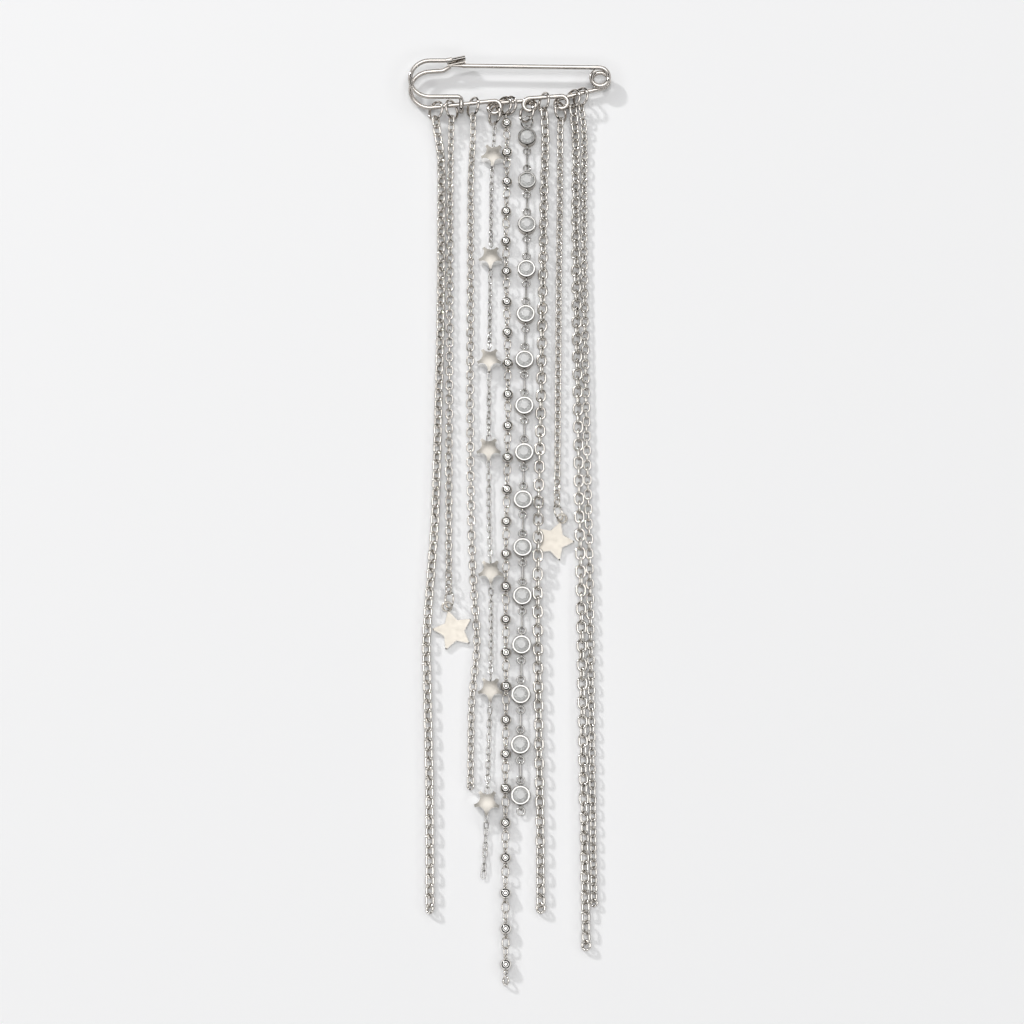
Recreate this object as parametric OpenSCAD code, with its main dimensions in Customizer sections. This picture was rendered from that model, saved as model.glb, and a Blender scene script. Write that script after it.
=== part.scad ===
// Lapel chain: a three-loop kilt pin with ten hanging chains, crystals, balls and stars.
// It lies flat. X runs along the pin, Y up the chains towards the pin, Z away from the surface.
// All lengths in millimetres.

/* [Pin] */
// Length of the pin from end to end
pin_length = 49.5; // [47:0.5:53]
// Thickness of the pin's wire
pin_wire = 1.1; // [0.9:0.05:1.2]
// Radius of the round head, to the middle of the wire
head_radius = 4.8; // [4.4:0.1:5.4]
// How far the front strand of the head sits above the rear one, along Y
head_stagger = 1.8; // [1.4:0.1:2]
// Radius of the three eyes, to the middle of the wire
eye_radius = 1.5; // [1.4:0.05:1.7]
// Radius of the spring coil, to the middle of the wire
coil_radius = 2.1; // [1.9:0.05:2.4]
// Rise of the lower bar, in degrees
bar_slope = 4.5; // [3.5:0.25:5.5]
// Free gap between the turns of wire that lie over each other
coil_gap = 0.15; // [0.1:0.05:0.3]
// Outer radius of the folded cap that takes the tip
cap_radius = 1.5; // [1.4:0.05:1.8]
// Length of the folded cap
cap_length = 4.5; // [3.5:0.25:5.5]
// Length of the sharpened tip
tip_length = 3.5; // [2.5:0.25:5]

/* [Jump rings] */
// Outer diameter of the rings on the pin
ring_outer = 5.2; // [5:0.05:5.5]
// Wire of the rings on the pin
ring_wire = 0.65; // [0.5:0.05:0.7]

/* [Heavy chains] */
// Wire of a heavy link
heavy_wire = 0.6; // [0.5:0.05:0.65]
// Outer length of a heavy link
heavy_length = 3.5; // [3.3:0.05:3.8]
// Outer width of a heavy link
heavy_width = 2.6; // [2.4:0.05:2.7]

/* [Light chains] */
// Wire of a light link
light_wire = 0.45; // [0.35:0.05:0.5]
// Outer length of a light link
light_length = 2.8; // [2.6:0.05:3]
// Outer width of a light link
light_width = 2.0; // [1.8:0.05:2.1]

/* [Ball chain] */
// Diameter of a ball
ball_diameter = 2.6; // [2.2:0.1:3]
// Distance from ball to ball
ball_pitch = 7.7; // [6.5:0.1:9]
// Number of balls
ball_count = 27; // [20:1:27]
// Thickness of the fine chains that run through balls and stars
thread = 0.8; // [0.6:0.05:0.9]

/* [Crystal chain] */
// Outer diameter of a bezel cup
cup_outer = 4.4; // [4:0.1:4.6]
// Wall of a bezel cup
cup_wall = 0.35; // [0.3:0.05:0.45]
// Height of a bezel cup
cup_height = 1.9; // [1.6:0.1:2.3]
// Height of a cut stone from its point to its table
crystal_height = 1.9; // [1.6:0.1:2.3]
// Distance from cup to cup
cup_pitch = 11.4; // [10.8:0.1:12.5]
// Number of cups
cup_count = 15; // [10:1:15]
// Wire of the cups' eyes and of the links between the cups
crystal_wire = 0.4; // [0.3:0.05:0.45]
// Outer diameter of the small rings between the cups
small_ring = 2.05; // [1.9:0.05:2.3]
// Outer width of the long links between the cups
long_width = 1.7; // [1.6:0.05:1.9]

/* [Stars] */
// Reach of a star bead from its middle to a tip
bead_reach = 2.9; // [2.6:0.1:3.2]
// Thickness of a star bead at its middle
bead_thickness = 3.2; // [2.8:0.1:3.6]
// Reach of a star charm from its middle to a tip
charm_reach = 4.7; // [4.3:0.1:5]
// Thickness of a star charm
charm_thickness = 0.9; // [0.7:0.05:1.1]
// Outer diameter of the eyelet on a star charm
eyelet_outer = 2.65; // [2.5:0.05:2.9]
// Wire of the eyelet on a star charm
eyelet_wire = 0.55; // [0.45:0.05:0.6]
// Outer diameter of the ring that carries a star charm
charm_ring = 4.3; // [4.1:0.05:4.6]
// Wire of the ring that carries a star charm
charm_wire = 0.5; // [0.4:0.05:0.55]

/* [Chain lengths] */
// Length of chain a below its ring
length_a = 190; // [120:1:200]
// Length of chain b down to its star charm
length_b = 119; // [80:1:125]
// Length of chain c
length_c = 163.5; // [110:0.5:170]
// Length of chain d
length_d = 185; // [170:1:195]
// Length of chain g
length_g = 190.5; // [140:0.5:200]
// Length of chain h down to its star charm
length_h = 97; // [60:1:105]
// Length of chain i
length_i = 199; // [150:1:205]
// Length of chain j
length_j = 191; // [150:1:200]

/* [Fits] */
// Gap between links that hold each other
link_gap = 0.13; // [0.1:0.01:0.2]
// Gap round a fine chain in its bore, and round a stone in its cup
bore_gap = 0.1; // [0.1:0.01:0.15]

/* [Hidden] */
fine = 48;
sides = 8;
wire_sides = 16;
eye_steps = 20;
facets = 12;
wire_r = pin_wire / 2;

// Heights of the pin's strands
low_z = 1.05 + wire_r;
high_z = low_z + pin_wire + coil_gap;
front_z = high_z + pin_wire;

// Rings on the pin: x share of the pin, drop below the bar, lean from upright in degrees, lift
ring_r = (ring_outer - ring_wire) / 2;
drop = ring_r * 0.53;
on_a = [-0.3625, drop - 0.1, 45];
on_b = [-0.285, drop, -35];
on_c = [-0.18, drop - 0.3, 35];
on_e1 = [-0.0285, drop - 0.1, 50];
on_e2 = [-0.004, drop - 0.1, 50];
on_g = [0.1675, drop - 0.03, 30, 0.3];
on_i = [0.311, drop, 45];
on_j = [0.3495, drop, 45];
// Rings in the eyes: eye, offset from the eye's middle, lean
in_d = [0, [0.04, -eye_radius - 0.54], 35];
in_f = [1, [-0.65, -eye_radius - 0.37], 45];
in_h = [2, [-0.26, -eye_radius - 0.9], -35];

// Places along the pin, from its middle
left_x = -pin_length / 2;
head_x = left_x + head_radius + wire_r;
coil_x = pin_length / 2 - coil_radius - wire_r;
// Straight stubs at the ends of the bends, and the wider bend by which the sprung arm leaves the coil
stub_e = 0.4;
rise = 0.3;
cap_turn = 13.2;
above = 2.5 + coil_radius + rise + stub_e + 0.65 + cap_length * sin(cap_turn) + cap_radius * cos(cap_turn);
below = -head_radius * cos(bar_slope) + (on_e1[0] / 2 * pin_length + on_e2[0] / 2 * pin_length
    - head_x - head_radius * sin(bar_slope)) * tan(bar_slope) - on_e1[1] - ring_r
    - 2 - (ball_count - 1) * ball_pitch - 2.15 - 1.5 * light_wire - 1.7;
head_y = -(above + below) / 2;
eye_share = [-0.077, 0.095, 0.252];
eye_x = [for (s = eye_share) s * pin_length];
bar_u = [cos(bar_slope), sin(bar_slope), 0];
bar_v = [-sin(bar_slope), cos(bar_slope), 0];
bar_start = [head_x, head_y, 0] - head_radius * bar_v;
function bar_at(x, z = 0) = bar_start + bar_u * (x - bar_start[0]) / bar_u[0] + [0, 0, z];
coil_y = head_y + 2.45;
coil_c = [coil_x, coil_y, low_z];

arm_c = [coil_x - 0.1, coil_y + 0.05, high_z];
arm_end = arm_c + [-rise, coil_radius + rise + stub_e, 0];
tip = [head_x + 4.65, arm_end[1] + 0.5, high_z];

// The folded cap
cap_wall = 0.78;
cap_start = [tip[0] - 0.4, tip[1] + 0.15, high_z];
cap_end = cap_start + cap_length * [cos(cap_turn), sin(cap_turn), 0];
cap_inner = cap_radius - cap_wall;
cap_gap = cap_radius * sin(cap_turn) + 0.12;

// The wrap of the front strand round the lower bar
past_ring_b = 2.3575;
wrap_x = on_b[0] * pin_length + past_ring_b;
wrap_z = low_z - pin_wire - 0.12
    + (high_z - low_z) * (wrap_x - bar_start[0]) / (eye_x[0] - bar_start[0]);
wrap_r = (front_z - wrap_z) / 2;
front_y = head_y + head_stagger;
wrap_y = bar_at(wrap_x)[1] - 0.4;

function ring_z(lean, r = ring_r, w = ring_wire) = r * cos(lean) + w / 2;
// The wire's run from the last eye to the coil
run_from = bar_at(eye_x[2], low_z);
run_d = coil_c - run_from;
run_turn = atan2(run_d[1], run_d[0]) - asin(coil_radius / norm(run_d));
run_to = coil_c + coil_radius * [sin(run_turn), -cos(run_turn), 0];
function bar_y(x) = x < eye_x[2] ? bar_at(x)[1]
    : lookup(x, [[run_from[0], run_from[1]], [run_to[0], run_to[1]]]);
function on_bar(t) = [t[0] * pin_length, bar_y(t[0] * pin_length) - t[1],
    ring_z(t[2]) + (len(t) > 3 ? t[3] : 0)];
function in_eye(t) = bar_at(eye_x[t[0]]) - eye_radius * bar_v + [t[1][0], t[1][1], ring_z(t[2])];
at_a = on_bar(on_a);
at_b = on_bar(on_b);
at_c = on_bar(on_c);
at_d = in_eye(in_d);
at_e1 = on_bar(on_e1);
at_e2 = on_bar(on_e2);
at_e = (at_e1 + at_e2) / 2;
at_f = in_eye(in_f);
at_g = on_bar(on_g);
at_h = in_eye(in_h);
at_i = on_bar(on_i);
at_j = on_bar(on_j);

// Chosen routes of the chains as they lie: distance below the ring, shift along X
routes = [
    [[0, 0], [1, -0.2], [4, 0.5], [8, 1.25], [15, 1.5], [26, 1.5], [41, 1.6], [54, 1.55], [70, 1.3],
        [88, 1], [101, 0.7], [110, 0.1], [119, -0.5], [129, -1.05], [140, -0.65], [160, 0], [178, 0.3],
        [190, 0.4]],
    [[0, 0], [1, -0.05], [10, -0.2], [21, -0.25], [54, -0.1], [89, 0], [105, 0.1], [118, 0.2]],
    [[0, 0], [4, 0.1], [9, -0.2], [16, -0.5], [51, -0.4], [71, -0.4], [88, -0.2], [102, 0.05], [115, 0.5],
        [121, 0.95], [127, 1.5], [134, 1.45], [138, 0.8], [143, 0.3], [161, 0.15], [164, 0.25]],
    [[0, 0], [8, -0.4], [15, -0.75], [34, -0.9], [60, -1.15], [82, -1.25], [97, -1.15], [106, -0.85],
        [111, -0.65], [126, -0.55], [139, -0.65], [152, -1.05], [164, -1.35], [172, -1.65], [178, -1.95],
        [182, -2.25], [185, -2.65]],
    [[0, 0], [9, 0.25], [17, 0.15], [32, -0.2], [48, 0.1], [61, 0.35], [70, 0.4], [86, 0.35], [101, 0],
        [124, -0.1],
        [140, 0.05], [155, -0.1], [186, -0.1], [205, 0]],
    [[0, 0], [4, 0.05], [27, -0.05], [49, -0.35], [61, -0.7], [83, -0.75], [95, -1.1], [118, -1.25],
        [140, -1.65], [163, -1.85], [166, -1.45]],
    [[0, 0], [1, 0.2], [6, 0.45], [20, 0], [43, -0.4], [58, -0.65], [78, -1.05], [94, -1.5], [106, -1.75],
        [115, -1.85], [135, -1.85], [155, -1.65], [168, -1.5], [189, -1.4]],
    [[0, 0], [3, -0.1], [18, -0.2], [34, -0.5], [70, -1], [93, -1.3], [96, -1.4]],
    [[0, 0], [1, 0.1], [3, 0.4], [8, 0.7], [31, 0.4], [59, 0.5], [98, 0.7], [113, 0.9], [145, 1.1],
        [184, 1.3], [196, 1.4]],
    [[0, 0], [2, 0.4], [7, 0.9], [21, 0.65], [37, 0.45], [60, 0.55], [87, 0.7], [113, 1.1], [146, 1.2],
        [184, 1.3], [190, 1.35]]];
// Stars on chain d: distance below its ring
star_at = [8.2, 34.6, 60.3, 82.3, 111.5, 138.8, 164.3];
// Where chain g lies over the left tips of the second star charm
over_star = [[97, 0], [103, 1], [114, 1], [119, 0]];

// A route as tables of x, y and z against length along it. d runs 4 mm above the ring's lower wire.
step = 2;
function shift(k, d) = (lookup(d - step, routes[k]) + lookup(d, routes[k]) + lookup(d + step, routes[k])) / 3
    - (lookup(step, routes[k]) / 3) * max(0, 1 - abs(d) / step);
function sums(p) = [for (i = 0, s = 0; i < len(p); i = i + 1,
    s = i < len(p) ? s + norm(p[i] - p[i - 1]) : s) s];
function tables(p, s, s0) = [for (a = [0:2]) [for (i = [0:len(p) - 1]) [s[i] - s0, p[i][a]]]];
function path_of(k, at, len, rest, end_z, hump = []) =
    let (p = [for (d = [-4:step:len + 8]) [at[0] + shift(k, d), at[1] - ring_r - d,
            rest + (at[2] - rest) * lookup(d, [[0.5, 1], [8, 0]])
            + (end_z - rest) * lookup(d, [[len - 6, 0], [len - 1.5, 1]])
            + (hump == [] ? 0 : (charm_thickness + 0.6) * lookup(d, hump))]],
        s = sums(p))
    tables(p, s, s[4 / step]);
function at(path, s) = [lookup(s, path[0]), lookup(s, path[1]), lookup(s, path[2])];

// Links: half the length of a link to the middle of its bow, and the pitch
function bow(l, w) = (l - w) / 2;
function pitch(l, w) = l - 2 * w - link_gap;
function first(l, w, held) = bow(l, w) - (held + w) / 2 - link_gap;
function count(len, l, w, held, last) =
    floor((len - first(l, w, held) - bow(l, w) + (w + last) / 2 + link_gap) / pitch(l, w)) + 1;
function hold(l, w, held, last, n) =
    first(l, w, held) + (n - 1) * pitch(l, w) + bow(l, w) - (w + last) / 2 - link_gap;
function tilt_z(wide, w) = (wide - w) / 2 * sin(45) + w / 2;

heavy_z = tilt_z(heavy_width, heavy_wire);
light_z = tilt_z(light_width, light_wire);
end_heavy = 2.6;
end_light = 1.95;
n_a = count(length_a, heavy_length, heavy_wire, ring_wire, heavy_wire);
n_b = count(length_b, light_length, light_wire, ring_wire, charm_wire);
n_c = count(length_c, light_length, light_wire, ring_wire, light_wire);
n_g = count(length_g, heavy_length, heavy_wire, ring_wire, heavy_wire);
n_h = count(length_h, light_length, light_wire, ring_wire, charm_wire);
n_i = count(length_i, heavy_length, heavy_wire, ring_wire, heavy_wire);
n_j = count(length_j, light_length, light_wire, ring_wire, light_wire);
s_a = hold(heavy_length, heavy_wire, ring_wire, heavy_wire, n_a);
s_b = hold(light_length, light_wire, ring_wire, charm_wire, n_b);
s_c = hold(light_length, light_wire, ring_wire, light_wire, n_c);
s_g = hold(heavy_length, heavy_wire, ring_wire, heavy_wire, n_g);
s_h = hold(light_length, light_wire, ring_wire, charm_wire, n_h);
s_i = hold(heavy_length, heavy_wire, ring_wire, heavy_wire, n_i);
s_j = hold(light_length, light_wire, ring_wire, light_wire, n_j);

// Charms: the ring leans 30 degrees from upright and holds the eyelet
charm_lean = 30;
charm_r = (charm_ring - charm_wire) / 2;
charm_z = ring_z(charm_lean, charm_r, charm_wire);
eyelet_r = (eyelet_outer - eyelet_wire) / 2;
eyelet_z = charm_wire + link_gap + eyelet_wire / 2 + 0.05;
stalk = charm_reach + eyelet_outer / 2 - 0.35;
star_low = charm_reach * cos(36);
charm_tilt = asin((eyelet_z - charm_thickness / 2) / (stalk + star_low));

path_a = path_of(0, at_a, length_a, heavy_z, heavy_z);
path_b = path_of(1, at_b, s_b, light_width / 2 * 0.8, charm_z);
path_c = path_of(2, at_c, length_c, light_width / 2 * 0.8, light_width / 2 * 0.8);
path_g = path_of(6, at_g, length_g, heavy_z, heavy_z, over_star);
path_h = path_of(7, at_h, s_h, light_z, charm_z);
path_i = path_of(8, at_i, length_i, heavy_z, heavy_z);
path_j = path_of(9, at_j, length_j, light_width / 2 * 0.8, light_width / 2 * 0.8);

// Chain e: the balls, with the fine chain straight through each
ball_at = [for (i = [0:ball_count - 1]) 2 + i * ball_pitch];
function e_at(d) = [at_e[0] + shift(4, d), at_e[1] - ring_r - d, ball_diameter / 2];
e_ends = [for (i = [0:ball_count]) e_at(i == 0 ? ring_wire / 2 + 0.15
    : i == ball_count ? ball_at[i - 1] + 2 : (ball_at[i - 1] + ball_at[i]) / 2)];
function ball_in(i) = let (a = e_ends[i], b = e_ends[i + 1], y = at_e[1] - ring_r - ball_at[i])
    a + (b - a) * (y - a[1]) / (b[1] - a[1]);
e_end = e_at(ball_at[ball_count - 1] + 2 + 0.15 + light_wire + 0.85);

// Chain f: cups, eyes and links in line from cup to cup
cup_r = cup_outer / 2;
first_cup = 3.85;
cup_at = [for (i = [0:cup_count]) let (d = first_cup + i * cup_pitch)
    [at_f[0] + shift(5, d), at_f[1] - ring_r - d, 0]];
f_z = long_width / 2;
f_eye_r = 0.53;
small_r = (small_ring - crystal_wire) / 2;
eye_off = cup_r + 0.25 + crystal_wire / 2;
small_off = eye_off + small_r;
bow_off = eye_off + 2 * small_r - crystal_wire - 0.1;
stone_r = cup_r - cup_wall - bore_gap;

// Shapes
module rod(p, q, r) {
    v = q - p;
    translate(p) rotate([0, acos(v[2] / norm(v)), atan2(v[1], v[0])])
        cylinder(h = norm(v), r = r, $fn = fine);
}
module place(p, u, v) {
    w = cross(u, v);
    multmatrix([[u[0], v[0], w[0], p[0]], [u[1], v[1], w[1], p[1]], [u[2], v[2], w[2], p[2]], [0, 0, 0, 1]])
        children();
}
module bend(R, r, from, turn) rotate([0, 0, from]) rotate_extrude(angle = turn, $fn = fine)
    translate([R, 0]) circle(r = r, $fn = fine);
module hoop(R, r) rotate_extrude($fn = fine) translate([R, 0]) circle(r = r, $fn = fine);
// A short straight stub of the pin's wire at the end of a bend
module stub(p, axis, e) translate(p) rotate(axis) cylinder(h = e, r = wire_r, $fn = fine);
// Short sleeves, a hair wider than the wire, cover the joints of its runs
module sleeve(p, v, h) translate(p) rotate([0, acos(v[2] / norm(v)), atan2(v[1], v[0])])
    cylinder(h = h, r = wire_r * 1.03, center = true, $fn = fine);
function along_run(pts, i) = let (a = pts[max(i, 1)] - pts[max(i, 1) - 1], k = min(i + 1, len(pts) - 1),
    b = pts[k] - pts[k - 1]) a / norm(a) + b / norm(b);
module wire(pts, h) for (i = [0:len(pts) - 1]) {
    sleeve(pts[i], along_run(pts, i), h);
    if (i > 0) rod(pts[i - 1], pts[i], wire_r);
}
module leaning(p, lean, R, r) place(p, [0, 1, 0], [sin(lean), 0, cos(lean)]) hoop(R, r);
module oval(long, wide, wire) {
    R = (wide - wire) / 2;
    half = round((long - wide) * 500) / 1000;
    translate([half, 0, 0]) bend(R, wire / 2, -90, 180);
    translate([-half, 0, 0]) bend(R, wire / 2, 90, 180);
    for (s = [-1, 1]) translate([-half, s * R, 0]) rotate([0, 90, 0])
        cylinder(h = 2 * half, r = wire / 2, $fn = fine);
}
// A frame with its X along t, rolled by an angle from level
module along(p, t, roll) {
    u = t / norm(t);
    side = cross([0, 0, 1], u) / norm(cross([0, 0, 1], u));
    up = cross(u, side);
    place(p, u, side * cos(roll) + up * sin(roll)) children();
}
module links(path, n, l, wide, w, lean) {
    roll = lean > 0 ? -45 : 45;
    p = pitch(l, w);
    for (i = [0:n - 1]) {
        s = first(l, w, ring_wire) + i * p;
        t = at(path, s + p / 2) - at(path, s - p / 2);
        along(at(path, s), t, (i % 2 == 0 ? 1 : -1) * roll) oval(l, wide, w);
    }
}
module closing(path, s, outer, w, roll) {
    R = (outer - w) / 2;
    along(at(path, s + R), at(path, s + R + 1) - at(path, s + R - 1), roll) hoop(R, w / 2);
}
// A tube along points, closed at both ends
module tube(pts, r) {
    n = len(pts);
    function dir(i) = let (a = pts[max(0, i - 1)], b = pts[min(n - 1, i + 1)]) (b - a) / norm(b - a);
    ring = [for (i = [0:n - 1])
        let (t = dir(i), s = cross([0, 0, 1], t) / norm(cross([0, 0, 1], t)), u = cross(t, s))
        for (k = [0:sides - 1]) pts[i] + r * (cos(k * 360 / sides) * s + sin(k * 360 / sides) * u)];
    walls = [for (i = [0:n - 2], k = [0:sides - 1], h = [0, 1])
        let (a = i * sides + k, b = i * sides + (k + 1) % sides)
        h == 0 ? [a, b, b + sides] : [a, b + sides, a + sides]];
    polyhedron(points = ring, faces = concat(walls, [[for (k = [sides - 1:-1:0]) k]],
        [[for (k = [0:sides - 1]) (n - 1) * sides + k]]));
}
module strand(path, from, to, r, gap_step) {
    n = max(2, min(80, ceil((to - from) / gap_step)));
    tube([for (i = [0:n]) at(path, from + (to - from) * i / n)], r);
}

// A wire swept along points, its section carried on without twist from one point to the next
function arc(c, u, v, R, turn, n) =
    [for (i = [0:n]) c + R * (cos(turn * i / n) * u + sin(turn * i / n) * v)];
module swept(pts, r) {
    n = len(pts);
    t = [for (i = [0:n - 1]) let (a = pts[min(n - 1, i + 1)] - pts[max(0, i - 1)]) a / norm(a)];
    s0 = cross([0, 0, 1], t[0]) / norm(cross([0, 0, 1], t[0]));
    side = [for (i = 0, s = s0; i < n; i = i + 1,
        s = i < n ? (s - (s * t[i]) * t[i]) / norm(s - (s * t[i]) * t[i]) : s) s];
    ring = [for (i = [0:n - 1], k = [0:wire_sides - 1]) let (a = k * 360 / wire_sides)
        pts[i] + r * (cos(a) * side[i] + sin(a) * cross(t[i], side[i]))];
    walls = [for (i = [0:n - 2], k = [0:wire_sides - 1], h = [0, 1])
        let (a = i * wire_sides + k, b = i * wire_sides + (k + 1) % wire_sides)
        h == 0 ? [a, b, b + wire_sides] : [a, b + wire_sides, a + wire_sides]];
    polyhedron(points = ring, faces = concat(walls, [[for (k = [wire_sides - 1:-1:0]) k]],
        [[for (k = [0:wire_sides - 1]) (n - 1) * wire_sides + k]]));
}

// Rear wire: from just short of the cap, round the head, along the bar with its eyes and into the coil
module pin_frame() color([0.8, 0.8, 0.82]) {
    up = [0, 0, 1];
    rear_c = [head_x, head_y, low_z];
    rear_bend = rear_c + head_radius * bar_v + 3.15 * bar_u;
    rear_end = arc(rear_bend + 1.6 * bar_v, -bar_v, bar_u, 1.6, 45, 5);
    into = [high_z, low_z, high_z];
    out = [low_z, high_z, low_z];
    eyes = [for (i = [0:2], k = [0:eye_steps]) let (a = 360 * k / eye_steps, q = (into[i] - out[i]) / 4)
        bar_at(eye_x[i]) + eye_radius * ((cos(a) - 1) * bar_v + sin(a) * bar_u)
            + up * (a <= 180 ? into[i] - q * (1 - cos(a)) : out[i] + q * (1 - cos(a)))];
    coil_u = [sin(run_turn), -cos(run_turn), 0];
    coil_v = [cos(run_turn), sin(run_turn), 0];
    swept(concat([for (i = [5:-1:0]) rear_end[i]], arc(rear_c, bar_v, -bar_u, head_radius, 180, 26),
        eyes, arc(coil_c, coil_u, coil_v, coil_radius, 240, 26)), wire_r);
}
// Front wire: from the cap round the head, down round the lower bar and up behind it
module pin_front() color([0.8, 0.8, 0.82]) {
    front_c = [head_x, front_y, front_z];
    corner = [wrap_x - 0.9, front_y - head_radius - 0.9, front_z];
    wrap_mid = [wrap_x, wrap_y, (front_z + wrap_z) / 2];
    swept(concat([[cap_start[0] - cap_gap, front_y + head_radius, front_z]],
        arc(front_c, [0, 1, 0], [-1, 0, 0], head_radius, 180, 26),
        arc(corner, [0, 1, 0], [1, 0, 0], 0.9, 90, 6),
        arc(wrap_mid, [0, 0, 1], [0, -1, 0], wrap_r, 180, 12), [wrap_mid + [0, 1.4, -wrap_r]]), wire_r);
}
// Folded cap: half a sleeve, open towards the bar, that takes the point
module pin_cap() color([0.8, 0.8, 0.82]) intersection() {
    difference() {
        rod(cap_start, cap_end, cap_radius);
        rod(cap_start - 0.5 * (cap_end - cap_start), cap_end + 0.5 * (cap_end - cap_start), cap_inner);
    }
    translate(cap_start) rotate([0, 0, cap_turn])
        translate([-1, 0, -2 * cap_radius]) cube([cap_length + 2, 2 * cap_radius, 4 * cap_radius]);
}

module pin_arm() color([0.86, 0.86, 0.88]) {
    v = (tip - arm_end) / norm(tip - arm_end);
    cone_start = tip - tip_length * v;
    wire([arm_end - [stub_e, 0, 0], cone_start], stub_e);
    translate(cone_start) rotate([0, 90, atan2(v[1], v[0])])
        cylinder(h = tip_length, r1 = wire_r * 0.98, r2 = 0.08, $fn = fine);
    translate(arm_c) {
        translate([-rise, stub_e, 0]) {
            bend(coil_radius + rise, wire_r, 0, 90);
            stub([0, coil_radius + rise, 0], [0, -90, 0], stub_e);
            stub([coil_radius + rise, 0, 0], [90, 0, 0], stub_e / 2);
        }
        mirror([0, 1, 0]) bend(coil_radius, wire_r, 0, 235);
        stub([coil_radius, 0, 0], [-90, 0, 0], stub_e / 2);
        sleeve([coil_radius, stub_e / 2, 0], [0, 1, 0], stub_e / 2);
    }
}

module jump(p, t) color([0.75, 0.75, 0.78]) leaning(p, t[2], ring_r, ring_wire / 2);

// A charm's ring hangs from the end of its chain, swung sideways by an angle
module swung(path, s, yaw) {
    p = at(path, s);
    translate([p[0], p[1], 0]) rotate([0, 0, yaw]) children();
}
module charm_ring_on(path, s, side, yaw) color([0.75, 0.75, 0.78]) swung(path, s, yaw)
    leaning([0, -charm_r, charm_z], side * charm_lean, charm_r, charm_wire / 2);
// A fat star with blunt tips and bevelled edges, and an eyelet soldered on its top tip
module star_charm(path, s, side, yaw, turn) color([0.82, 0.82, 0.84]) {
    bevel = charm_thickness * 0.2;
    narrow = 1 - bevel / charm_reach * 1.4;
    blunt = [for (i = [0:4], k = [0:2]) let (a = 90 + i * 72)
        k == 2 ? charm_reach * 0.55 * [cos(a + 36), sin(a + 36)]
        : charm_reach * [cos(a - 2 + 4 * k), sin(a - 2 + 4 * k)]];
    swung(path, s, yaw) translate([-side * 0.316 * charm_r, -1.737 * charm_r, eyelet_z])
        rotate([0, 0, turn - yaw]) rotate([charm_tilt, 0, 0]) {
            hoop(eyelet_r, eyelet_wire / 2);
            translate([0, -stalk, -charm_thickness / 2]) {
                translate([0, 0, bevel]) linear_extrude(height = charm_thickness - 2 * bevel) polygon(blunt);
                translate([0, 0, charm_thickness - bevel])
                    linear_extrude(height = bevel, scale = narrow) polygon(blunt);
                mirror([0, 0, 1]) translate([0, 0, -bevel])
                    linear_extrude(height = bevel, scale = narrow) polygon(blunt);
            }
        }
}

// Chain d lies low between the stars and straight through each bore
star_z = bead_thickness / 2;
d_z = thread * 0.75;
d_start = ring_wire / 2 + 0.15;
function d_at(d, z) = [at_d[0] + shift(3, d), at_d[1] - ring_r - d, z];
star_reach = bead_reach + 0.5;
star_ends = [for (s = star_at) [d_at(s - star_reach, star_z), d_at(s + star_reach, star_z)]];
d_points = concat([[at_d[0], at_d[1] - ring_r - d_start, at_d[2]]],
    [for (i = [0:6]) each concat([star_ends[i][0], star_ends[i][1]],
        i == 6 ? [for (d = [star_at[6] + star_reach + 3:4:length_d]) d_at(d, d_z)]
        : [for (k = [0:5]) let (a = star_at[i] + star_reach + 3, b = star_at[i + 1] - star_reach - 3)
            d_at(a + (b - a) * k / 5, d_z)])]);
module star_bead(i) color([0.8, 0.8, 0.83]) {
    a = star_ends[i][0];
    b = star_ends[i][1];
    cut_r = bead_reach * 0.55;
    cut_at = bead_reach * 1.14;
    puff = bead_reach * 2.72;
    along((a + b) / 2, b - a, 0) difference() {
        intersection() {
            translate([0, 0, -bead_thickness / 2]) linear_extrude(height = bead_thickness) difference() {
                circle(r = bead_reach, $fn = fine);
                for (k = [0:4]) rotate(36 + 72 * k) translate([cut_at, 0]) circle(r = cut_r, $fn = fine);
            }
            translate([0, 0, puff - bead_thickness / 2]) sphere(r = puff, $fn = fine);
            translate([0, 0, bead_thickness / 2 - puff]) sphere(r = puff, $fn = fine);
        }
        translate([-bead_reach * 2, 0, 0]) rotate([0, 90, 0])
            cylinder(h = bead_reach * 4, r = thread / 2 + bore_gap, $fn = fine);
    }
}

module satellite_balls() color([0.72, 0.74, 0.8]) for (i = [0:ball_count - 1])
    along(ball_in(i), e_ends[i + 1] - e_ends[i], 0) rotate([0, 90, 0])
        rotate_extrude($fn = fine) difference() {
            circle(r = ball_diameter / 2, $fn = fine);
            translate([-ball_diameter, -ball_diameter])
                square([ball_diameter + thread / 2 + bore_gap, 2 * ball_diameter]);
        }

// Bezel cups with an eye at each end
module crystal_cups() color([0.78, 0.78, 0.8]) for (i = [0:cup_count - 1]) {
    up = i == 0 ? [0, 1, 0] : (cup_at[i - 1] - cup_at[i]) / norm(cup_at[i - 1] - cup_at[i]);
    down = (cup_at[i + 1] - cup_at[i]) / norm(cup_at[i + 1] - cup_at[i]);
    translate(cup_at[i]) {
        rotate_extrude($fn = fine) polygon([[0, 0], [cup_r, 0], [cup_r, cup_height - 0.15],
            [cup_r - 0.15, cup_height], [cup_r - cup_wall - 0.08, cup_height],
            [cup_r - cup_wall, cup_height - 0.2],
            [cup_r - cup_wall, 0.3], [0, 0.3]]);
        for (d = [up, down]) place(d * eye_off + [0, 0, f_z], d, [0, 0, 1]) hoop(f_eye_r, crystal_wire / 2);
    }
}
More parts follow.
